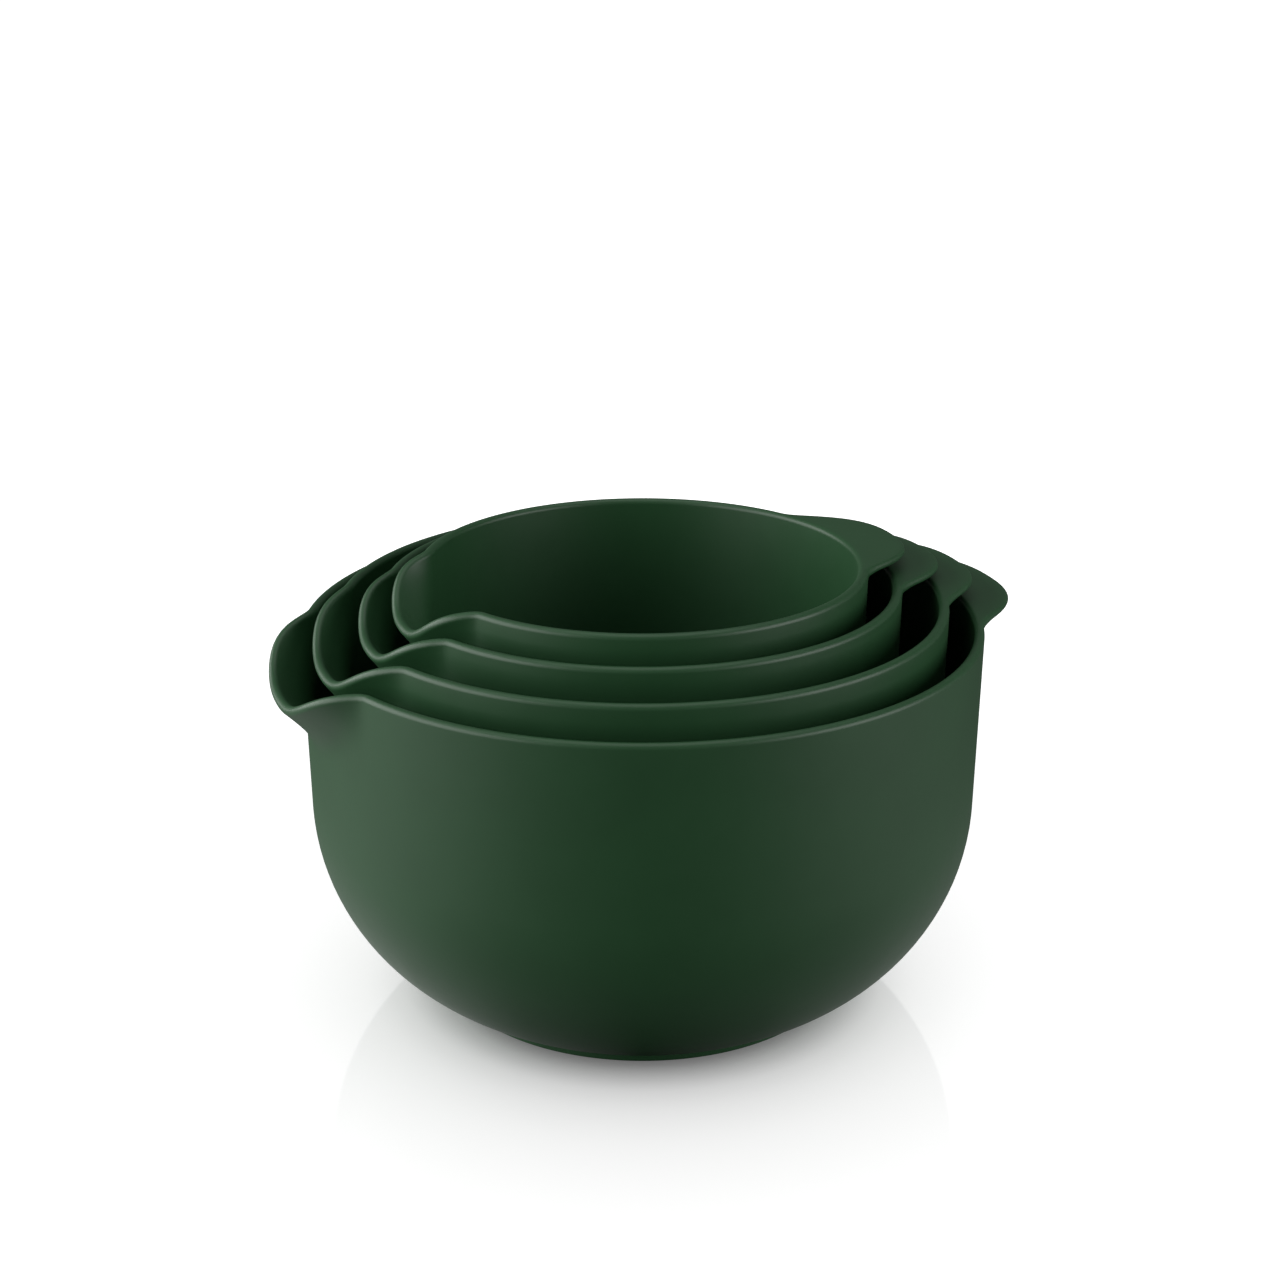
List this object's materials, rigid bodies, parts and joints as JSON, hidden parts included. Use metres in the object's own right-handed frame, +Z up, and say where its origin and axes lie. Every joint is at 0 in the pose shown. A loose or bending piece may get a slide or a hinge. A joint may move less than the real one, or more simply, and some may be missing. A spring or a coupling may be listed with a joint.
{
  "type": "nesting mixing bowls",
  "caption": "Nest of green moulded mixing bowls, each with a wide pouring spout, a flat tab handle and a non-slip foot ring; the smaller bowls lift out.",
  "frame": {"origin": "centre of the largest bowl's foot, on the surface that it stands on", "axes": "+Z up along the bowls' common axis, +X towards the tab handles, -X towards the spouts"},
  "size_m": [0.2472, 0.22, 0.1464],
  "materials": {
    "melamine": "satin, dark green",
    "ring": "matt black, soft"
  },
  "bodies": {
    "largest_bowl": {"bowl_1": "melamine", "foot_ring_1": "ring"},
    "second_bowl": {"bowl_2": "melamine", "foot_ring_2": "ring"},
    "third_bowl": {"bowl_3": "melamine", "foot_ring_3": "ring"},
    "smallest_bowl": {"bowl_4": "melamine", "foot_ring_4": "ring"}
  },
  "joints": [
    {"name": "second_bowl_lift", "type": "slide", "parent": "largest_bowl", "child": "second_bowl", "axis": [0, 0, 1], "range_m": [0, 0.16]},
    {"name": "third_bowl_lift", "type": "slide", "parent": "second_bowl", "child": "third_bowl", "axis": [0, 0, 1], "range_m": [0, 0.16]},
    {"name": "smallest_bowl_lift", "type": "slide", "parent": "third_bowl", "child": "smallest_bowl", "axis": [0, 0, 1], "range_m": [0, 0.16]}
  ]
}
